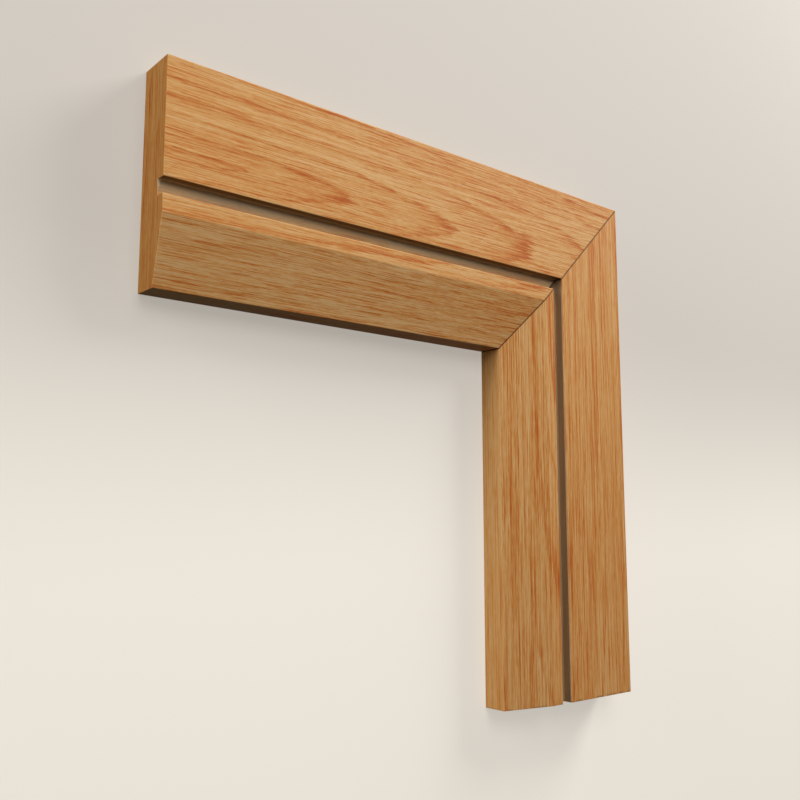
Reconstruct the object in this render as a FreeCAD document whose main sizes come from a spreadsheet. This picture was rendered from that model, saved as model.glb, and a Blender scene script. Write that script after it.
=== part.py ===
"""Mitred corner of oak architrave: a head and a leg of one moulded section, meeting in a 45 degree mitre.

Both lengths are run from the same stock. Across the face, from the outer edge inwards, the section has a
wide flat band, a square groove, a narrow flat strip and a long slope that falls to a thinner inner edge.
The corner lies on its back: the back faces are on the plane z = 0 and the moulded faces look up. The head
runs along X on the +Y side, the leg runs along Y on the +X side, and the origin is in the middle of the
outline on the back. Lengths are in millimetres.
"""
import FreeCAD
import Part
import Sketcher
import math
import os

# Driving sizes: alias and value in millimetres
SIZES = {
    "head_length": 290,
    "leg_length": 280,
    "section_width": 95,
    "section_thickness": 20,
    "band_width": 51,
    "groove_width": 7,
    "groove_depth": 5,
    "strip_width": 7.5,
    "inner_edge_thickness": 13,
    "arris_radius": 0.3,
}
SAME_PLACE = 1e-4

# How a sketch counts the two ends of a line, and its own origin
START = 1
END = 2
ORIGIN_POINT = (-1, START)

doc = FreeCAD.newDocument("architrave_corner")
sheet = doc.addObject("Spreadsheet::Sheet", "sizes")
for row, (alias, value) in enumerate(SIZES.items(), start=1):
    sheet.set(f"A{row}", alias)
    sheet.set(f"B{row}", str(value))
    sheet.setAlias(f"B{row}", alias)
doc.recompute()


def origin_plane(body, role):
    """One of the body's own origin planes, by its role."""
    return next(plane for plane in body.Origin.OriginFeatures if plane.Role == role)


def new_sketch(body, name, role):
    """An empty sketch on one of the body's origin planes."""
    sketch = body.newObject("Sketcher::SketchObject", name)
    sketch.AttachmentSupport = [(origin_plane(body, role), "")]
    sketch.MapMode = "FlatFace"
    return sketch


def draw_outline(sketch, corners):
    """Closed outline of straight lines through the corners, each line starting where the last one ends."""
    vectors = [FreeCAD.Vector(x, y, 0) for x, y in corners]
    count = len(vectors)
    for index in range(count):
        sketch.addGeometry(Part.LineSegment(vectors[index], vectors[(index + 1) % count]))
    for index in range(count):
        sketch.addConstraint(Sketcher.Constraint("Coincident", index, END, (index + 1) % count, START))


def set_distance(sketch, kind, first, second, name, formula):
    """Named distance from the first point to the second along X or Y, driven by the sheet."""
    points = [sketch.getPoint(*point) for point in (first, second)]
    gap = points[1] - points[0]
    value = gap.x if kind == "DistanceX" else gap.y
    index = sketch.addConstraint(Sketcher.Constraint(kind, *first, *second, value))
    sketch.renameConstraint(index, name)
    sketch.setExpression(f"Constraints.{name}", formula)


def draw_section(sketch):
    """The moulded section: sketch x is 0 at the outer edge and falls inwards, sketch y is the height."""
    groove_inner = sheet.band_width + sheet.groove_width
    slope_start = groove_inner + sheet.strip_width
    groove_floor = sheet.section_thickness - sheet.groove_depth
    draw_outline(sketch, [
        (0, 0),
        (0, sheet.section_thickness),
        (-sheet.band_width, sheet.section_thickness),
        (-sheet.band_width, groove_floor),
        (-groove_inner, groove_floor),
        (-groove_inner, sheet.section_thickness),
        (-slope_start, sheet.section_thickness),
        (-sheet.section_width, sheet.inner_edge_thickness),
        (-sheet.section_width, 0),
    ])
    lines = range(sketch.GeometryCount)
    outer_edge, band, outer_wall, floor, inner_wall, strip, slope, inner_edge, back = lines
    for line in (outer_edge, outer_wall, inner_wall, inner_edge):
        sketch.addConstraint(Sketcher.Constraint("Vertical", line))
    for line in (band, floor, strip, back):
        sketch.addConstraint(Sketcher.Constraint("Horizontal", line))
    sketch.addConstraint(Sketcher.Constraint("Coincident", outer_edge, START, *ORIGIN_POINT))
    sketch.addConstraint(Sketcher.Constraint("Horizontal", band, END, strip, START))
    across = "DistanceX"
    height = "DistanceY"
    distances = [
        (across, (back, START), (back, END), "width", "section_width"),
        (height, (outer_edge, START), (outer_edge, END), "thickness", "section_thickness"),
        (across, (band, END), (band, START), "band", "band_width"),
        (across, (floor, END), (floor, START), "groove_across", "groove_width"),
        (height, (outer_wall, END), (outer_wall, START), "groove_down", "groove_depth"),
        (across, (strip, END), (strip, START), "strip", "strip_width"),
        (height, (inner_edge, END), (inner_edge, START), "inner_edge", "inner_edge_thickness"),
    ]
    for kind, first, second, name, alias in distances:
        set_distance(sketch, kind, first, second, name, f"sizes.{alias}")


def eased_edges(shape, across_axis):
    """Names of the long edges that are eased: the outer arris, both groove lips and the inner arris."""
    groove_inner = sheet.band_width + sheet.groove_width
    arrises = [
        (0, sheet.section_thickness),
        (-sheet.band_width, sheet.section_thickness),
        (-groove_inner, sheet.section_thickness),
        (-sheet.section_width, sheet.inner_edge_thickness),
    ]
    names = []
    for number, edge in enumerate(shape.Edges, start=1):
        places = [(getattr(vertex, across_axis), vertex.Z) for vertex in edge.Vertexes]
        if any(all(math.dist(place, arris) < SAME_PLACE for place in places) for arris in arrises):
            names.append(f"Edge{number}")
    if len(names) != len(arrises):
        raise RuntimeError(f"found {len(names)} arrises to ease, not {len(arrises)}")
    return names


def draw_mitre_waste(sketch, waste_below):
    """Triangle of waste below or above the mitre line, at 45 degrees through the outer corner."""
    # The waste runs past both edges of the stock by the stock's own thickness
    past_outer = sheet.section_thickness
    past_inner = -sheet.section_width - sheet.section_thickness
    outer_end = (past_outer, past_outer)
    inner_end = (past_inner, past_inner)
    if waste_below:
        square_corner = (past_outer, past_inner)
        level_line = 1
        upright_line = 2
    else:
        square_corner = (past_inner, past_outer)
        level_line = 2
        upright_line = 1
    draw_outline(sketch, [outer_end, inner_end, square_corner])
    mitre = 0
    sketch.addConstraint(Sketcher.Constraint("Horizontal", level_line))
    sketch.addConstraint(Sketcher.Constraint("Vertical", upright_line))
    past_outer_formula = "sizes.section_thickness"
    past_inner_formula = "sizes.section_width + sizes.section_thickness"
    for kind, axis in (("DistanceX", "x"), ("DistanceY", "y")):
        set_distance(sketch, kind, ORIGIN_POINT, (mitre, START), f"outer_{axis}", past_outer_formula)
        set_distance(sketch, kind, (mitre, END), ORIGIN_POINT, f"inner_{axis}", past_inner_formula)


def mitred_length(label, length_alias, section_plane, across_axis, run_reversed, waste_below):
    """One length of the moulding, run to its section, eased, and cut to the mitre at the outer corner."""
    body = doc.addObject("PartDesign::Body", label)
    body.Label = label

    section = new_sketch(body, f"{label}_section", section_plane)
    draw_section(section)

    run = body.newObject("PartDesign::Pad", f"{label}_run")
    run.Profile = section
    run.Reversed = run_reversed
    run.setExpression("Length", f"sizes.{length_alias}")
    doc.recompute()

    eased = body.newObject("PartDesign::Fillet", f"{label}_eased")
    eased.Base = (run, eased_edges(run.Shape, across_axis))
    eased.setExpression("Radius", "sizes.arris_radius")
    doc.recompute()

    waste = new_sketch(body, f"{label}_mitre_waste", "XY_Plane")
    draw_mitre_waste(waste, waste_below)
    mitre = body.newObject("PartDesign::Pocket", f"{label}_mitre")
    mitre.Profile = waste
    mitre.Type = "ThroughAll"
    mitre.Reversed = True
    doc.recompute()
    if mitre.Shape.Volume >= eased.Shape.Volume:
        raise RuntimeError(f"{label}: the mitre took nothing off")

    body.setExpression("Placement.Base.x", "sizes.head_length / 2")
    body.setExpression("Placement.Base.y", "sizes.leg_length / 2")
    return body


# The head runs from the corner towards -X and the leg towards -Y, with mitres of opposite hand
head = mitred_length(
    "head_moulding",
    "head_length",
    section_plane="YZ_Plane",
    across_axis="Y",
    run_reversed=True,
    waste_below=True,
)
leg = mitred_length(
    "leg_moulding",
    "leg_length",
    section_plane="XZ_Plane",
    across_axis="X",
    run_reversed=False,
    waste_below=False,
)
doc.recompute()

# Every feature is sound and every sketch is fully constrained before anything is written
for item in doc.Objects:
    if "Invalid" in item.State or "Error" in item.State:
        raise RuntimeError(f"{item.Name} failed: {item.State}")
    if item.isDerivedFrom("Sketcher::SketchObject") and not item.FullyConstrained:
        raise RuntimeError(f"{item.Name} is not fully constrained")
for body in (head, leg):
    if body.Shape.isNull() or not body.Shape.isValid():
        raise RuntimeError(f"{body.Label} has no valid shape")

os.makedirs("parts", exist_ok=True)
for body in (head, leg):
    body.Shape.exportStep(f"parts/{body.Label}.step")
    box = body.Shape.BoundBox
    print(f"{body.Label}: {box}, volume {body.Shape.Volume:.1f} mm3")
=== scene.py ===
import math

import bpy
import numpy as np
from mathutils import Matrix, Vector


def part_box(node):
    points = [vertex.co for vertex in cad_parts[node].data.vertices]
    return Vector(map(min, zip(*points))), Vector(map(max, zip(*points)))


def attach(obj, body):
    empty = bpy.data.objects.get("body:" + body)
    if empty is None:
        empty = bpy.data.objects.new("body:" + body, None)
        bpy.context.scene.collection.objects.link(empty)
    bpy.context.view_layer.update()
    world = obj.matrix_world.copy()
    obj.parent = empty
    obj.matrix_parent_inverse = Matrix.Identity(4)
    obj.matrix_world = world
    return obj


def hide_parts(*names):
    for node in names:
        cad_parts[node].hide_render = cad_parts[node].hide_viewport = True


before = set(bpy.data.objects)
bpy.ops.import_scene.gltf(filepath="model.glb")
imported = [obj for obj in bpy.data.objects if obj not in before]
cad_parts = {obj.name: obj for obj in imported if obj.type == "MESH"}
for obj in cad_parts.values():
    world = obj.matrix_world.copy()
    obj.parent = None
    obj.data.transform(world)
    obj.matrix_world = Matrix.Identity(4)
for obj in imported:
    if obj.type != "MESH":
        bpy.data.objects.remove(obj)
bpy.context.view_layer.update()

# Head moulding
# The length over the door: oak planed to a moulded section, with its arrises eased by fine paper. It is
# sawn square at its free end and cut to a 45 degree mitre at the corner, where it is glued to the leg.

MM = 0.001

# The section, in millimetres across the face from the outer edge and up from the back
BAND_WIDTH = 51.0
GROOVE_WIDTH = 7.0
GROOVE_DEPTH = 5.0
STRIP_WIDTH = 7.5
INNER_EDGE = 13.0
ARRIS_RADIUS = 0.3
GROOVE_INNER = BAND_WIDTH + GROOVE_WIDTH
SLOPE_START = GROOVE_INNER + STRIP_WIDTH

# Spacing of the mesh in millimetres, fine enough on the faces to carry the relief of the grain
FACE_STEP = 0.42
EDGE_STEP = 0.6
BACK_STEP = 8.0
LENGTH_STEP = 1.4
ARRIS_STEPS = 3

# Fine bevels left by the saw at the free end and along the mitre, in millimetres
SAW_BEVEL = 0.1
MITRE_BEVEL = 0.22


def eased_corner(before, corner, after):
    """Points of the arc that eases a corner of the section, from one face to the next."""
    to_before = (before - corner) / np.linalg.norm(before - corner)
    to_after = (after - corner) / np.linalg.norm(after - corner)
    half_angle = math.acos(float(to_before @ to_after)) / 2
    bisector = (to_before + to_after) / np.linalg.norm(to_before + to_after)
    centre = corner + bisector * ARRIS_RADIUS / math.sin(half_angle)
    reach = ARRIS_RADIUS / math.tan(half_angle)
    first = corner + to_before * reach - centre
    last = corner + to_after * reach - centre
    turn = math.pi - 2 * half_angle
    shares = np.linspace(0, 1, ARRIS_STEPS + 1)[:, None]
    return centre + (np.sin((1 - shares) * turn) * first + np.sin(shares * turn) * last) / math.sin(turn)


def section_corners(width, thickness):
    """Corners round the section, whether each is eased, and the mesh step along the face after it."""
    groove_floor = thickness - GROOVE_DEPTH
    return [
        ((0, 0), False, EDGE_STEP),
        ((0, thickness), True, FACE_STEP),
        ((BAND_WIDTH, thickness), True, EDGE_STEP),
        ((BAND_WIDTH, groove_floor), False, FACE_STEP),
        ((GROOVE_INNER, groove_floor), False, EDGE_STEP),
        ((GROOVE_INNER, thickness), True, FACE_STEP),
        ((SLOPE_START, thickness), False, FACE_STEP),
        ((width, INNER_EDGE), True, EDGE_STEP),
        ((width, 0), False, BACK_STEP),
    ]


def moulded_section(width, thickness):
    """Points round the section, the outward normal of each, and 1 where it carries the grain's relief."""
    members = section_corners(width, thickness)
    corners = np.array([corner for corner, _, _ in members])
    count = len(members)
    bends = []
    for index, (_, eased, _) in enumerate(members):
        if eased:
            bends.append(eased_corner(corners[index - 1], corners[index], corners[(index + 1) % count]))
        else:
            bends.append(corners[index][None, :])
    points = []
    relief = []
    for index, (_, _, step) in enumerate(members):
        start = bends[index][-1]
        end = bends[(index + 1) % count][0]
        pieces = max(1, round(float(np.linalg.norm(end - start)) / step))
        between = start + (end - start) * np.linspace(0, 1, pieces + 1)[1:-1, None]
        points += [*bends[index], *between]
        # The last face is the back, which lies flat as far as the first corner
        relief += [float(index > 0)] * len(bends[index])
        relief += [float(index < count - 1)] * len(between)
    points = np.array(points)
    ahead = np.roll(points, -1, axis=0) - points
    ahead /= np.linalg.norm(ahead, axis=1)[:, None]
    behind = np.roll(ahead, 1, axis=0)
    normal_ahead = np.column_stack([-ahead[:, 1], ahead[:, 0]])
    normal_behind = np.column_stack([-behind[:, 1], behind[:, 0]])
    normals = normal_ahead + normal_behind
    normals /= (normals * normal_ahead).sum(1)[:, None]
    return points, normals, np.array(relief)


def add_vectors(mesh, name, vectors):
    """A vector for every point of the mesh, under a name."""
    attribute = mesh.attributes.new(name, "FLOAT_VECTOR", "POINT")
    attribute.data.foreach_set("vector", np.ascontiguousarray(vectors, dtype=np.float32).ravel())


# Where the unrolled sides and the two ends lie on the map that colours are baked to, as shares of its size,
# and the scale of the ends on it, per millimetre
SIDES_HEIGHT = 0.9
END_LEFT = (0.01, 0.51)
END_BOTTOM = 0.91
END_SCALE = 0.0048


def unroll_for_baking(mesh, timber, points):
    """Unrolls the sides of a length into one rectangle, with its two ends above it."""
    rows, around, _ = timber.shape
    gaps = np.linalg.norm(np.roll(points, -1, axis=0) - points, axis=1)
    reach = np.concatenate([[0], np.cumsum(gaps)]) / gaps.sum()
    corner_vertex = np.empty(len(mesh.loops), np.int32)
    mesh.loops.foreach_get("vertex_index", corner_vertex)
    row, place = np.divmod(corner_vertex, around)
    sides = len(mesh.loops) - 2 * around
    spots = np.empty((len(mesh.loops), 2))
    spots[:, 0] = row / (rows - 1)
    by_face = place[:sides].reshape(-1, 4)
    closes = (by_face.max(1) - by_face.min(1) > 1)[:, None] & (by_face == 0)
    spots[:sides, 1] = reach[np.where(closes, around, by_face)].ravel() * SIDES_HEIGHT
    for index, left in enumerate(END_LEFT):
        corners = slice(sides + index * around, sides + (index + 1) * around)
        spots[corners] = points[place[corners]] * END_SCALE + (left, END_BOTTOM)
    layer = mesh.uv_layers.new(name="OFBake")
    layer.uv.foreach_set("vector", spots.astype(np.float32).ravel())


def moulding_mesh(name, length, width, thickness, to_frame):
    """One mitred length. Its timber attribute holds each point's place along, across and up the stock."""
    points, normals, relief = moulded_section(width, thickness)
    around = len(points)
    stations = max(2, round(length / LENGTH_STEP))
    # One more row at each end leaves room for the bevels of the saw
    rows = stations + 2
    shares = np.linspace(0, 1, stations)
    mitre_at = length - points[:, 0]
    run = SAW_BEVEL + (mitre_at - SAW_BEVEL - MITRE_BEVEL) * shares[:, None]
    along = np.vstack([np.zeros(around), run, mitre_at])
    inset = np.zeros(rows)
    inset[0] = SAW_BEVEL
    inset[-1] = MITRE_BEVEL
    section = points[None, :, :] - normals[None, :, :] * inset[:, None, None]
    timber = np.concatenate([along[:, :, None], section], axis=2)
    outward = np.concatenate([np.zeros((around, 1)), normals], axis=1)
    carries = np.tile(relief, (rows, 1))
    carries[[0, -1]] = 0

    ring = np.arange(around)
    ring_after = np.roll(ring, -1)
    row = np.arange(rows - 1)[:, None] * around
    next_row = row + around
    quads = np.stack([row + ring, row + ring_after, next_row + ring_after, next_row + ring], axis=2)
    faces = quads.reshape(-1, 4).tolist()
    faces.append(ring[::-1].tolist())
    faces.append((ring + (rows - 1) * around).tolist())
    turn = np.array(to_frame.to_3x3())
    if np.linalg.det(turn) > 0:
        faces = [face[::-1] for face in faces]

    mesh = bpy.data.meshes.new(name)
    places = timber.reshape(-1, 3) @ turn.T * MM + np.array(to_frame.translation)
    mesh.from_pydata(places, [], faces)
    add_vectors(mesh, "timber", timber.reshape(-1, 3))
    add_vectors(mesh, "outward", np.tile(outward @ turn.T, (rows, 1)) * carries.reshape(-1, 1))
    end_grain = mesh.attributes.new("end_grain", "FLOAT", "FACE")
    end_grain.data.foreach_set("value", [0.0] * (len(faces) - 2) + [1.0, 1.0])
    unroll_for_baking(mesh, timber, points)
    return mesh


def link(tree, value, socket):
    """Feeds a socket from another node, or sets it to a constant."""
    if isinstance(value, bpy.types.NodeSocket):
        tree.links.new(value, socket)
    else:
        socket.default_value = value


def math_node(tree, operation, *values):
    """One step of arithmetic on values that change over the wood."""
    node = tree.nodes.new("ShaderNodeMath")
    node.operation = operation
    for socket, value in zip(node.inputs, values):
        link(tree, value, socket)
    return node.outputs[0]


def split(tree, place):
    """A place's three parts: along the stock, across it and up from its back."""
    node = tree.nodes.new("ShaderNodeSeparateXYZ")
    link(tree, place, node.inputs[0])
    return node.outputs[0], node.outputs[1], node.outputs[2]


def ramp(tree, value, stops):
    """Levels or colours set at stops from 0 to 1, with straight runs between them."""
    node = tree.nodes.new("ShaderNodeValToRGB")
    elements = node.color_ramp.elements
    for at, _ in stops[len(elements):]:
        elements.new(at)
    for element, (at, level) in zip(elements, stops):
        element.position = at
        element.color = level if isinstance(level, tuple) else (level, level, level, 1)
    link(tree, value, node.inputs[0])
    return node.outputs[0]


# Marks in the wood: length along the grain and width across it in millimetres, layers of detail, own seed.
# A board's own grain length stretches them all.
SWAY = (120.0, 30.0, 1.0, 1)
RIPPLE = (34.0, 7.0, 1.0, 2)
FEATHER = (13.0, 0.5, 1.0, 8)
FADING = (55.0, 6.0, 2.0, 3)
FURROW = (60.0, 1.6, 0.0, 4)
FIBRE = (48.0, 0.6, 2.0, 4)
FINE_FIBRE = (9.0, 0.36, 3.0, 5)
FLECK = (3.0, 0.5, 1.0, 9)
PATCH = (150.0, 8.0, 2.0, 6)
LINE = (24.0, 0.8, 2.0, 11)
PORE = (3.2, 0.22, 1.0, 7)
# Mottle of the painted light on the head's groove floor
LIGHT_MOTTLE = (30.0, 2.0, 2.0, 10)
# Soft noise runs from 0 to 1 about this mean
NOISE_MEAN = 0.5


def streaks(tree, place, board, mark):
    """Soft noise drawn out along the board's grain."""
    long, wide, detail, own_seed = mark
    drawn_out = tree.nodes.new("ShaderNodeVectorMath")
    drawn_out.operation = "MULTIPLY"
    link(tree, place, drawn_out.inputs[0])
    drawn_out.inputs[1].default_value = (1 / (long * board["grain_length"]), 1 / wide, 1 / wide)
    noise = tree.nodes.new("ShaderNodeTexNoise")
    noise.noise_dimensions = "4D"
    link(tree, drawn_out.outputs[0], noise.inputs["Vector"])
    noise.inputs["W"].default_value = board["seed"] + own_seed
    noise.inputs["Scale"].default_value = 1.0
    noise.inputs["Detail"].default_value = detail
    return noise.outputs[0]


def yearly(tree, growth, change, detail):
    """Soft noise that changes with the log's growth."""
    noise = tree.nodes.new("ShaderNodeTexNoise")
    noise.noise_dimensions = "1D"
    link(tree, growth, noise.inputs["W"])
    noise.inputs["Scale"].default_value = change
    noise.inputs["Detail"].default_value = detail
    return noise.outputs[0]


def about_zero(tree, noise):
    """The same noise with its mean taken off."""
    return math_node(tree, "SUBTRACT", noise, NOISE_MEAN)


# Growth rings, in millimetres: their spacing, and how far they sway, ripple and feather off their circles
RING_SPACING = 7.6
SWAY_REACH = 5.0
RIPPLE_REACH = 3.6
FEATHER_REACH = 3.4
# Thickness of wood, in millimetres, in which good and poor years change the width of the rings
YEAR_DRIFT = 11.0


def growth_rings(tree, place, board, feathered):
    """Count of the rings out from the heart of the log, which slopes along the board under its face."""
    along, across, up = split(tree, place)
    heart_height = math_node(tree, "MULTIPLY_ADD", along, board["heart_rise"], board["heart_height"])
    above = math_node(tree, "SUBTRACT", up, heart_height)
    beside = math_node(tree, "SUBTRACT", across, board["heart_across"])
    squares = math_node(tree, "MULTIPLY_ADD", beside, beside, math_node(tree, "MULTIPLY", above, above))
    radius = math_node(tree, "SUBTRACT", math_node(tree, "SQRT", squares), board["first_ring"])
    wanders = [(SWAY, SWAY_REACH), (RIPPLE, RIPPLE_REACH)]
    if feathered:
        wanders.append((FEATHER, FEATHER_REACH))
    for mark, reach in wanders:
        wander = about_zero(tree, streaks(tree, place, board, mark))
        radius = math_node(tree, "MULTIPLY_ADD", wander, reach, radius)
    drift = about_zero(tree, yearly(tree, radius, 1 / YEAR_DRIFT, 0.0))
    even_rings = math_node(tree, "DIVIDE", radius, RING_SPACING)
    return math_node(tree, "MULTIPLY_ADD", drift, board["uneven_years"], even_rings)


# Strength of the dark wood across one ring, from its inner side to its sharp outer side
RING_LEVELS = [(0.0, 0.0), (0.56, 0.03), (0.81, 0.3), (0.94, 1.0), (1.0, 0.1)]
# How fast that strength changes from year to year, and between what levels
YEAR_CHANGE = 0.7
YEAR_DETAIL = 2.0
YEAR_LEVELS = [(0.35, 0.8), (0.6, 1.0)]
# How it comes and goes along the grain, except in the flames: so many millimetres either side of the heart
FADING_LEVELS = [(0.4, 0.25), (0.62, 1.0)]
FLAME_REACH = 15.0
FLAME_LEVELS = [(0.3, 1.0), (1.0, 0.0)]


def dark_wood(tree, rings, place, board):
    """The dark side of each ring: stronger in some years, fading along the grain, lasting in the flames."""
    pulse = ramp(tree, math_node(tree, "FRACT", rings), RING_LEVELS)
    strong_year = ramp(tree, yearly(tree, rings, YEAR_CHANGE, YEAR_DETAIL), YEAR_LEVELS)
    fading = ramp(tree, streaks(tree, place, board, FADING), FADING_LEVELS)
    _, across, _ = split(tree, place)
    from_heart = math_node(tree, "ABSOLUTE", math_node(tree, "SUBTRACT", across, board["heart_across"]))
    flame = ramp(tree, math_node(tree, "DIVIDE", from_heart, FLAME_REACH), FLAME_LEVELS)
    lasting = math_node(tree, "MAXIMUM", fading, flame)
    return math_node(tree, "MULTIPLY", math_node(tree, "MULTIPLY", pulse, strong_year), lasting)


# How far the dark wood and the furrows between the fibres lie below the planed face, in millimetres
DARK_WOOD_DEPTH = 0.03
FURROW_DEPTH = 0.03


def mesh_vector(tree, name):
    """A vector that the mesh holds for each of its points."""
    node = tree.nodes.new("GeometryNodeInputNamedAttribute")
    node.data_type = "FLOAT_VECTOR"
    node.inputs["Name"].default_value = name
    return next(socket for socket in node.outputs if socket.enabled)


def grain_relief(name, board):
    """Geometry nodes that sink the dark wood and the furrows below the planed face."""
    tree = bpy.data.node_groups.new(name, "GeometryNodeTree")
    tree.interface.new_socket("Geometry", in_out="INPUT", socket_type="NodeSocketGeometry")
    tree.interface.new_socket("Geometry", in_out="OUTPUT", socket_type="NodeSocketGeometry")
    planed = tree.nodes.new("NodeGroupInput")
    worn = tree.nodes.new("NodeGroupOutput")
    place = mesh_vector(tree, "timber")
    rings = growth_rings(tree, place, board, feathered=False)
    swell = math_node(tree, "COSINE", math_node(tree, "MULTIPLY", rings, 2 * math.pi))
    half_depth = DARK_WOOD_DEPTH * MM / 2
    dark = math_node(tree, "MULTIPLY_ADD", swell, half_depth, -half_depth)
    furrow = streaks(tree, place, board, FURROW)
    sunk = math_node(tree, "MULTIPLY_ADD", furrow, -FURROW_DEPTH * MM, dark)
    offset = tree.nodes.new("ShaderNodeVectorMath")
    offset.operation = "SCALE"
    link(tree, mesh_vector(tree, "outward"), offset.inputs[0])
    link(tree, sunk, offset.inputs["Scale"])
    move = tree.nodes.new("GeometryNodeSetPosition")
    link(tree, planed.outputs[0], move.inputs["Geometry"])
    link(tree, offset.outputs[0], move.inputs["Offset"])
    link(tree, move.outputs[0], worn.inputs[0])
    return tree


def mesh_value(tree, name, kind):
    """A value that the mesh holds, for the shader: its Vector, or the Fac of a single number."""
    node = tree.nodes.new("ShaderNodeAttribute")
    node.attribute_name = name
    return node.outputs[kind]


# A mix node has a set of sockets for each kind of value. These are the places of two colours or two vectors
# among its inputs, and of what they make among its outputs.
FIRST_COLOUR = 6
SECOND_COLOUR = 7
MIXED_COLOUR = 2
FIRST_VECTOR = 4
SECOND_VECTOR = 5
MIXED_VECTOR = 1


def mixed(tree, share, first, second, blend="MIX"):
    """The first colour with a share of the second laid over it."""
    node = tree.nodes.new("ShaderNodeMix")
    node.data_type = "RGBA"
    node.blend_type = blend
    link(tree, share, node.inputs["Factor"])
    link(tree, first, node.inputs[FIRST_COLOUR])
    link(tree, second, node.inputs[SECOND_COLOUR])
    return node.outputs[MIXED_COLOUR]


def grain_place(tree, timber, end_grain):
    """The place in the wood. On the sawn ends it is turned, so that their streaks run along the width."""
    along, across, up = split(tree, timber)
    turned = tree.nodes.new("ShaderNodeCombineXYZ")
    link(tree, across, turned.inputs[0])
    link(tree, up, turned.inputs[1])
    link(tree, along, turned.inputs[2])
    node = tree.nodes.new("ShaderNodeMix")
    node.data_type = "VECTOR"
    link(tree, end_grain, node.inputs["Factor"])
    link(tree, timber, node.inputs[FIRST_VECTOR])
    link(tree, turned.outputs[0], node.inputs[SECOND_VECTOR])
    return node.outputs[MIXED_VECTOR]


def closed_up(tree, place, past_strip, board):
    """The place of the fibres, which lie closer together down the slope of some boards."""
    shift = tree.nodes.new("ShaderNodeCombineXYZ")
    link(tree, math_node(tree, "MULTIPLY", past_strip, board["slope_fineness"]), shift.inputs[1])
    node = tree.nodes.new("ShaderNodeVectorMath")
    node.operation = "ADD"
    link(tree, place, node.inputs[0])
    link(tree, shift.outputs[0], node.inputs[1])
    return node.outputs[0]


# Colours of the oak from its palest streaks to the dark of its rings, as linear red, green and blue
OAK_COLOURS = [
    (0.05, (0.65, 0.395, 0.175, 1)),
    (0.3, (0.605, 0.32, 0.11, 1)),
    (0.5, (0.555, 0.24, 0.063, 1)),
    (0.75, (0.49, 0.15, 0.028, 1)),
    (1.0, (0.42, 0.092, 0.014, 1)),
]
# How far each kind of mark moves the colour along that scale
FIBRE_SHARE = 1.05
FINE_SHARE = 0.9
FLECK_SHARE = 0.5
PATCH_SHARE = 0.45
LINE_SHARE = 0.3
LINE_LEVELS = [(0.53, 0.0), (0.63, 1.0)]
# The planed edges have a quieter, paler figure and the sawn ends a stronger one. The slope is a little
# paler too.
EDGE_QUIET = 0.35
EDGE_PALE = 0.03
END_STRONG = 0.05
SLOPE_PALE = 0.03
# Skin of wood, in millimetres, that counts as lying on an edge or on the slope
EDGE_SKIN = 0.1


def oak_figure(tree, board, place, fibre_place, dark, fine, on_slope):
    """The marks in the wood added up: dark rings and lines, and fibres, flecks and patches about zero."""
    rings_left = math_node(tree, "MULTIPLY_ADD", on_slope, -board["slope_quiet"], 1.0)
    ring_share = math_node(tree, "MULTIPLY", rings_left, board["ring_strength"])
    figure = math_node(tree, "MULTIPLY", dark, ring_share)
    line = ramp(tree, streaks(tree, fibre_place, board, LINE), LINE_LEVELS)
    figure = math_node(tree, "MULTIPLY_ADD", line, LINE_SHARE, figure)
    marks = [
        (streaks(tree, fibre_place, board, FIBRE), FIBRE_SHARE),
        (fine, FINE_SHARE),
        (streaks(tree, fibre_place, board, FLECK), FLECK_SHARE),
        (streaks(tree, place, board, PATCH), PATCH_SHARE),
    ]
    for mark, share in marks:
        mark_share = share * board["mark_strength"]
        figure = math_node(tree, "MULTIPLY_ADD", about_zero(tree, mark), mark_share, figure)
    return figure


def figured_oak(tree, board, figure, along, on_edge, on_slope, end_grain):
    """Colour of the clean wood: its ground, moved by a figure whose strength differs from face to face."""
    strength = math_node(tree, "MULTIPLY_ADD", on_edge, -EDGE_QUIET, 1.0)
    strength = math_node(tree, "MULTIPLY_ADD", end_grain, END_STRONG, strength)
    strength = math_node(tree, "MULTIPLY_ADD", on_slope, board["slope_strength"], strength)
    strength = math_node(tree, "MULTIPLY_ADD", along, board["mitre_strength"], strength)
    ground = math_node(tree, "MULTIPLY_ADD", on_edge, -EDGE_PALE, board["ground"])
    ground = math_node(tree, "MULTIPLY_ADD", on_slope, -SLOPE_PALE, ground)
    return ramp(tree, math_node(tree, "MULTIPLY_ADD", figure, strength, ground), OAK_COLOURS)


# Open pores are short brown dashes, most of them in the dark wood
PORE_BROWN = (0.2, 0.072, 0.022, 1)
PORE_LEVELS = [(0.62, 0.0), (0.72, 1.0)]
PORES_IN_PALE_WOOD = 0.3
PORE_SHARE = 0.6


def open_pores(tree, board, place, dark):
    """1 in the pores and 0 between them, fainter in the pale wood."""
    dashes = ramp(tree, streaks(tree, place, board, PORE), PORE_LEVELS)
    open_share = math_node(tree, "MULTIPLY_ADD", dark, 1 - PORES_IN_PALE_WOOD, PORES_IN_PALE_WOOD)
    return math_node(tree, "MULTIPLY", dashes, open_share)


# Painted shade: a brown laid over the groove's walls, and on the leg over its floor too, stands in for the
# groove's shade, and a darker brown, the glue's own, paints the shade of the corner within reach of the
# mitre
GLUE_AND_SHADE_BROWN = (0.085, 0.04, 0.016, 1)
GROOVE_SHADE_SHARE = 0.75
CORNER_SHADE_REACH = 12.0
CORNER_SHADE_LEVELS = [(0.0, 0.8), (1.0, 0.0)]
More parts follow.
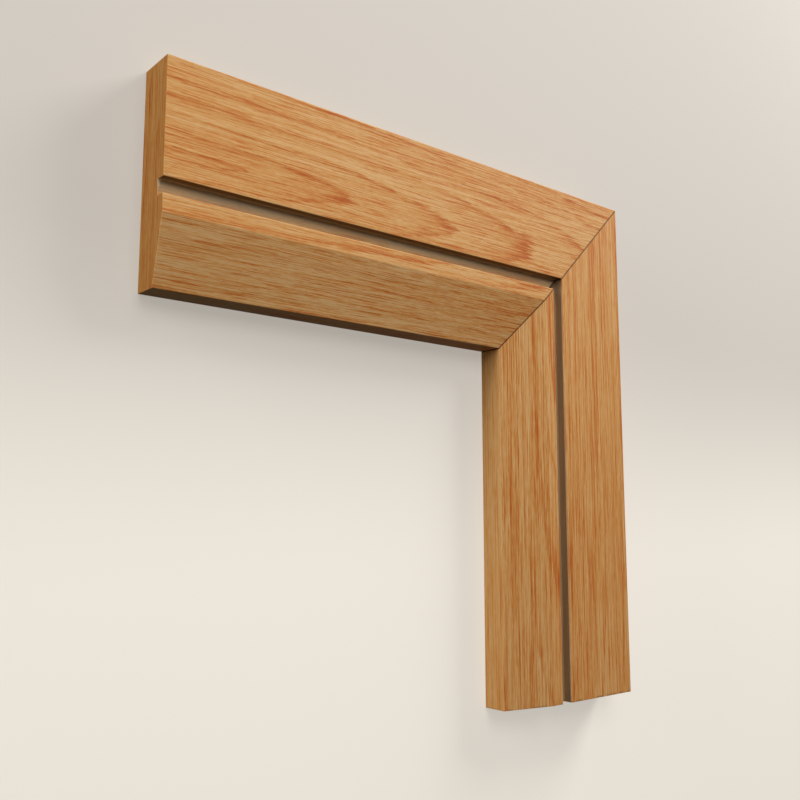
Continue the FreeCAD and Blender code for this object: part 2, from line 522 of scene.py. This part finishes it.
# Painted light: a pale grey laid patchily on the floor of the level groove, strongest at its outer wall,
# where the wall's shadow falls, and gone at its inner one, lifts that shadow. It thins out up the foot of
# the wall, over so many millimetres
GROOVE_FLOOR_LIGHT = (0.56, 0.45, 0.285, 1)
LIGHT_AT_OUTER_WALL = 1.1
LIGHT_AT_INNER_WALL = 0.0
LIGHT_PATCH_SPREAD = 1.6
LIGHT_PATCH_LEAST = 0.1
LIGHT_CLIMB = 2.2
LIGHT_CLIMB_LEVELS = [(0.05, 1.0), (1.0, 0.0)]
# How far past the groove's walls and floor the painted shade and light reach, in millimetres
GROOVE_PAINT_SKIN = 0.05


def groove_shade_and_light(tree, board, wood, place, timber, thickness, from_mitre):
    """The wood with painted shade in the groove, darkest near the mitre, and painted light on the head's
    groove floor. The eased lips of the groove keep the wood's colour.
    """
    _, across, up = split(tree, timber)
    # Painted shade over the whole groove
    shade_browned = mixed(tree, GROOVE_SHADE_SHARE, wood, board["groove_shade_brown"])
    # Darker painted shade in the groove's corner near the mitre
    corner_shade = ramp(tree, math_node(tree, "DIVIDE", from_mitre, CORNER_SHADE_REACH), CORNER_SHADE_LEVELS)
    groove_paint = mixed(tree, corner_shade, shade_browned, GLUE_AND_SHADE_BROWN)
    if board["groove_floor_lit"]:
        # Painted light on the groove floor, strongest at the outer wall where its shadow falls
        light_share = tree.nodes.new("ShaderNodeMapRange")
        link(tree, across, light_share.inputs["Value"])
        light_share.inputs["From Min"].default_value = BAND_WIDTH
        light_share.inputs["From Max"].default_value = GROOVE_INNER
        light_share.inputs["To Min"].default_value = LIGHT_AT_OUTER_WALL
        light_share.inputs["To Max"].default_value = LIGHT_AT_INNER_WALL
        mottle = streaks(tree, place, board, LIGHT_MOTTLE)
        light_patches = math_node(tree, "MULTIPLY_ADD", mottle, LIGHT_PATCH_SPREAD, LIGHT_PATCH_LEAST)
        lightened = mixed(tree, math_node(tree, "MULTIPLY", light_share.outputs[0], light_patches), wood, GROOVE_FLOOR_LIGHT)
        above_floor = math_node(tree, "SUBTRACT", up, thickness - GROOVE_DEPTH)
        light_left = ramp(tree, math_node(tree, "DIVIDE", above_floor, LIGHT_CLIMB), LIGHT_CLIMB_LEVELS)
        groove_paint = mixed(tree, light_left, groove_paint, lightened)
    middle_across = (BAND_WIDTH + GROOVE_INNER) / 2
    middle_up = thickness - ARRIS_RADIUS - GROOVE_DEPTH / 2
    between_walls = math_node(tree, "COMPARE", across, middle_across, GROOVE_WIDTH / 2 + GROOVE_PAINT_SKIN)
    below_lips = math_node(tree, "COMPARE", up, middle_up, GROOVE_DEPTH / 2 + GROOVE_PAINT_SKIN)
    return mixed(tree, math_node(tree, "MULTIPLY", between_walls, below_lips), wood, groove_paint)


# The sawn ends are browner, and a thin dark line of glue shows along the mitre, in millimetres
END_TINT = (0.51, 0.463, 0.342, 1)
GLUE_LINE = 0.75
GLUE_LEVELS = [(0.35, 0.85), (1.0, 0.0)]
# The oil leaves little gloss, least in the pores, which are also sunk a little, in millimetres
OIL_GLOSS = 0.08
ROUGHNESS_LEVELS = [(0.0, 0.62), (1.0, 0.75)]
PORE_BUMP_DEPTH = 0.12
PORE_BUMP_STRENGTH = 0.6
FIBRE_BUMP = 0.25


def oak_finish(name, board, length, width, thickness):
    """Oak in clear matt oil: rings, fibres and pores run through the solid, so faces and edges agree."""
    material = bpy.data.materials.new(name)
    material.use_nodes = True
    tree = material.node_tree
    timber = mesh_value(tree, "timber", "Vector")
    end_grain = mesh_value(tree, "end_grain", "Fac")
    along, across, _ = split(tree, timber)
    from_mitre = math_node(tree, "SUBTRACT", length, math_node(tree, "ADD", along, across))
    from_middle = math_node(tree, "ABSOLUTE", math_node(tree, "SUBTRACT", across, width / 2))
    on_edge = math_node(tree, "GREATER_THAN", from_middle, width / 2 - EDGE_SKIN)
    past_strip = math_node(tree, "MAXIMUM", math_node(tree, "SUBTRACT", across, SLOPE_START), 0.0)
    past_strip = math_node(tree, "MULTIPLY", past_strip, math_node(tree, "SUBTRACT", 1.0, end_grain))
    on_slope = math_node(tree, "GREATER_THAN", past_strip, EDGE_SKIN)
    place = grain_place(tree, timber, end_grain)
    fibre_place = closed_up(tree, place, past_strip, board)

    dark = dark_wood(tree, growth_rings(tree, place, board, feathered=True), place, board)
    fine = streaks(tree, fibre_place, board, FINE_FIBRE)
    pores = open_pores(tree, board, place, dark)
    figure = oak_figure(tree, board, place, fibre_place, dark, fine, on_slope)
    wood = figured_oak(tree, board, figure, along, on_edge, on_slope, end_grain)
    wood = mixed(tree, math_node(tree, "MULTIPLY", pores, PORE_SHARE), wood, PORE_BROWN)
    # Painted shade and painted light in the groove
    wood = groove_shade_and_light(tree, board, wood, place, timber, thickness, from_mitre)
    wood = mixed(tree, end_grain, wood, END_TINT, "MULTIPLY")
    glue = ramp(tree, math_node(tree, "DIVIDE", from_mitre, GLUE_LINE), GLUE_LEVELS)

    shader = tree.nodes["Principled BSDF"]
    link(tree, mixed(tree, glue, wood, GLUE_AND_SHADE_BROWN), shader.inputs["Base Color"])
    link(tree, ramp(tree, pores, ROUGHNESS_LEVELS), shader.inputs["Roughness"])
    shader.inputs["Specular IOR Level"].default_value = OIL_GLOSS
    bump = tree.nodes.new("ShaderNodeBump")
    bump.invert = True
    bump.inputs["Strength"].default_value = PORE_BUMP_STRENGTH
    bump.inputs["Distance"].default_value = PORE_BUMP_DEPTH * MM
    link(tree, math_node(tree, "MULTIPLY_ADD", fine, FIBRE_BUMP, pores), bump.inputs["Height"])
    link(tree, bump.outputs[0], shader.inputs["Normal"])
    return material


# Faces that meet at more than this angle, in degrees, meet in a sharp arris
SHARP_ANGLE = 35


def fit_moulding(name, node, length, width, thickness, to_frame, board):
    """Makes a length, sinks its grain, finishes it and stands it in for its solid."""
    piece = bpy.data.objects.new(name, moulding_mesh(name, length, width, thickness, to_frame))
    bpy.context.scene.collection.objects.link(piece)
    relief = piece.modifiers.new("grain_relief", "NODES")
    relief.node_group = grain_relief(f"{name}_relief", board)
    worn = piece.evaluated_get(bpy.context.evaluated_depsgraph_get())
    mesh = bpy.data.meshes.new_from_object(worn)
    piece.modifiers.clear()
    piece.data = mesh
    mesh.polygons.foreach_set("use_smooth", [True] * len(mesh.polygons))
    mesh.set_sharp_from_angle(angle=math.radians(SHARP_ANGLE))
    mesh.materials.clear()
    mesh.materials.append(oak_finish(f"{name}_finish", board, length, width, thickness))
    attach(piece, "root")
    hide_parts(node)


# The heart of the log lies close under the lower half of the head's band and falls away towards the mitre,
# so the rings close there in flames that point to the mitre, and run straight nearer the outer edge.
# Places of the heart and the first ring are in millimetres. The rise, and the strength that the figure
# gains towards the mitre, are per millimetre along the board. On the slope the fibres are finer, the figure
# is stronger and the rings are quieter, each by the share given.
HEAD_BOARD = {
    "heart_across": 40.5,
    "heart_height": 21.5,
    "heart_rise": -0.125,
    "first_ring": 2.6,
    "uneven_years": 0.5,
    "ring_strength": 0.45,
    "mark_strength": 0.87,
    "mitre_strength": 0.0013,
    "grain_length": 1.0,
    "ground": 0.33,
    "slope_fineness": 0.4,
    "slope_strength": 0.36,
    "slope_quiet": 0.45,
    # The brown painted in the groove as its shade, and whether painted light lifts the groove's floor
    "groove_shade_brown": (0.15, 0.1, 0.05, 1),
    "groove_floor_lit": True,
    "seed": 3.0,
}

head_low, head_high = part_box("head_moulding")
head_size = (head_high - head_low) / MM
head_to_frame = Matrix((
    (1, 0, 0, head_low.x),
    (0, -1, 0, head_high.y),
    (0, 0, 1, head_low.z),
    (0, 0, 0, 1),
))
fit_moulding("oak_head", "head_moulding", head_size.x, head_size.y, head_size.z, head_to_frame, HEAD_BOARD)

# Leg moulding
# The upright length at the side of the door: the same oak section, sawn square at its foot and mitred and
# glued to the head. The heart of its log runs under the groove, so its faces have straighter, longer grain.

LEG_BOARD = {
    "heart_across": 57.0,
    "heart_height": -4.0,
    "heart_rise": 0.11,
    "first_ring": 11.3,
    "uneven_years": 1.3,
    "ring_strength": 0.42,
    "mark_strength": 1.05,
    "mitre_strength": 0.0004,
    "grain_length": 1.7,
    "ground": 0.37,
    "slope_fineness": 0.0,
    "slope_strength": 0.12,
    "slope_quiet": 0.2,
    # The brown painted in the groove as its shade, and whether painted light lifts the groove's floor
    "groove_shade_brown": (0.4, 0.3, 0.185, 1),
    "groove_floor_lit": False,
    "seed": 24.0,
}

leg_low, leg_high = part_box("leg_moulding")
leg_size = (leg_high - leg_low) / MM
leg_to_frame = Matrix((
    (0, -1, 0, leg_high.x),
    (1, 0, 0, leg_low.y),
    (0, 0, 1, leg_low.z),
    (0, 0, 0, 1),
))
fit_moulding("oak_leg", "leg_moulding", leg_size.y, leg_size.x, leg_size.z, leg_to_frame, LEG_BOARD)

# Floor
# The corner lies on its back on a plain sheet of pale paper, cream beyond the foot and turning to a painted
# shade of grey beyond the head. The sheet keeps the corner's shadow and throws hardly any light back on the
# oak.

# Half the side of the sheet, and how far towards the head it turns from cream to the painted shade of grey,
# in metres
FLOOR_HALF = 4.0
CREAM_FROM = -0.08
SHADE_GREY_FROM = 0.09
# Its colours, the little light that it throws back, and the share of it that takes shadows
FLOOR_CREAM = (0.93, 0.868, 0.773, 1)
FLOOR_SHADE_GREY = (0.645, 0.597, 0.533, 1)
FLOOR_BOUNCE = (0.03, 0.028, 0.025, 1)
FLOOR_ROUGHNESS = 0.9
SHADOW_SHARE = 0.42


def seen_rays(tree):
    """1 for rays that show a surface, straight or in a reflection, and 0 for rays that only light."""
    ray = tree.nodes.new("ShaderNodeLightPath")
    reflected = math_node(tree, "MAXIMUM", ray.outputs["Is Glossy Ray"], ray.outputs["Is Transmission Ray"])
    return math_node(tree, "MAXIMUM", ray.outputs["Is Camera Ray"], reflected)


def either_shader(tree, share, first, second):
    """A mix of two shaders, or of two backgrounds, by the share of the second."""
    node = tree.nodes.new("ShaderNodeMixShader")
    link(tree, share, node.inputs[0])
    link(tree, first.outputs[0], node.inputs[1])
    link(tree, second.outputs[0], node.inputs[2])
    return node


def pale_paper():
    """Paper whose colour shows at its own level, with a share of it lit so that shadows show."""
    material = bpy.data.materials.new("pale_floor")
    material.use_nodes = True
    tree = material.node_tree
    spot = tree.nodes.new("ShaderNodeTexCoord")
    _, towards_head, _ = split(tree, spot.outputs["Object"])
    far_shade = tree.nodes.new("ShaderNodeMapRange")
    far_shade.interpolation_type = "SMOOTHSTEP"
    link(tree, towards_head, far_shade.inputs["Value"])
    far_shade.inputs["From Min"].default_value = CREAM_FROM
    far_shade.inputs["From Max"].default_value = SHADE_GREY_FROM
    # The floor turns to a painted shade of grey beyond the head
    colour = mixed(tree, far_shade.outputs[0], FLOOR_CREAM, FLOOR_SHADE_GREY)
    lit = tree.nodes["Principled BSDF"]
    link(tree, colour, lit.inputs["Base Color"])
    lit.inputs["Roughness"].default_value = FLOOR_ROUGHNESS
    even = tree.nodes.new("ShaderNodeEmission")
    link(tree, colour, even.inputs["Color"])
    bounce = tree.nodes.new("ShaderNodeBsdfDiffuse")
    bounce.inputs["Color"].default_value = FLOOR_BOUNCE
    seen = either_shader(tree, SHADOW_SHARE, even, lit)
    surface = either_shader(tree, seen_rays(tree), bounce, seen)
    link(tree, surface.outputs[0], tree.nodes["Material Output"].inputs["Surface"])
    return material


floor_mesh = bpy.data.meshes.new("floor")
floor_corners = [(-1, -1, 0), (1, -1, 0), (1, 1, 0), (-1, 1, 0)]
floor_mesh.from_pydata([Vector(corner) * FLOOR_HALF for corner in floor_corners], [], [(0, 1, 2, 3)])
floor_mesh.materials.append(pale_paper())
floor = bpy.data.objects.new("floor", floor_mesh)
bpy.context.scene.collection.objects.link(floor)

# Light
# A soft lamp beyond the mitre rakes across the moulded face, a wide low one off the head's sawn end lights
# the end and the leg's inner edge, and one above the head lifts the faces. The room adds a little more.

ROOM_TINT = (1.0, 0.985, 0.96, 1)
ROOM_STRENGTH = 0.03


def soft_lamp(name, place, aim, width, height, power):
    """A rectangular lamp, in metres and watts, turned to face a point."""
    lamp = bpy.data.lights.new(name, "AREA")
    lamp.shape = "RECTANGLE"
    lamp.size = width
    lamp.size_y = height
    lamp.energy = power
    holder = bpy.data.objects.new(name, lamp)
    holder.location = place
    holder.rotation_euler = (Vector(aim) - Vector(place)).to_track_quat("-Z", "Y").to_euler()
    bpy.context.scene.collection.objects.link(holder)


soft_lamp("key_lamp", place=(1.2, 1.17, 0.5), aim=(0, 0.05, 0), width=0.7, height=0.7, power=41.2)
soft_lamp("fill_lamp", place=(-1.15, 0.4, 0.12), aim=(0, 0, 0), width=0.9, height=0.2, power=12.8)
soft_lamp("high_lamp", place=(-0.17, 0.46, 0.78), aim=(0, 0, 0), width=0.5, height=0.5, power=4.1)

room = bpy.data.worlds.new("room")
room.use_nodes = True
room_tree = room.node_tree
room_light = room_tree.nodes["Background"]
room_light.inputs["Color"].default_value = ROOM_TINT
room_light.inputs["Strength"].default_value = ROOM_STRENGTH
# Rays that show the room see the same painted shade of grey as the far floor
seen_room = room_tree.nodes.new("ShaderNodeBackground")
seen_room.inputs["Color"].default_value = FLOOR_SHADE_GREY
room_surface = either_shader(room_tree, seen_rays(room_tree), room_light, seen_room)
link(room_tree, room_surface.outputs[0], room_tree.nodes["World Output"].inputs["Surface"])
bpy.context.scene.world = room

# Camera
# It looks down on the moulded face from the sawn end's side, with the top of the picture towards the head's
# outer edge.

CAMERA_HEADING = math.radians(11.95)
CAMERA_DEPRESSION = math.radians(49.53)
CAMERA_TARGET = Vector((-23.8, 10.3, 20.0)) * MM
CAMERA_DISTANCE = 426.3 * MM
CAMERA_LENS = 41.18

forward = Vector((
    math.cos(CAMERA_DEPRESSION) * math.cos(CAMERA_HEADING),
    math.cos(CAMERA_DEPRESSION) * math.sin(CAMERA_HEADING),
    -math.sin(CAMERA_DEPRESSION),
))
right = forward.cross(Vector((0, 1, 0))).normalized()
picture_up = right.cross(forward)
camera_data = bpy.data.cameras.new("camera")
camera_data.lens = CAMERA_LENS
camera = bpy.data.objects.new("camera", camera_data)
camera.matrix_world = Matrix.Translation(CAMERA_TARGET - forward * CAMERA_DISTANCE) @ Matrix((
    (right.x, picture_up.x, -forward.x),
    (right.y, picture_up.y, -forward.y),
    (right.z, picture_up.z, -forward.z),
)).to_4x4()
bpy.context.scene.collection.objects.link(camera)
bpy.context.scene.camera = camera
bpy.context.scene.view_settings.view_transform = "Standard"
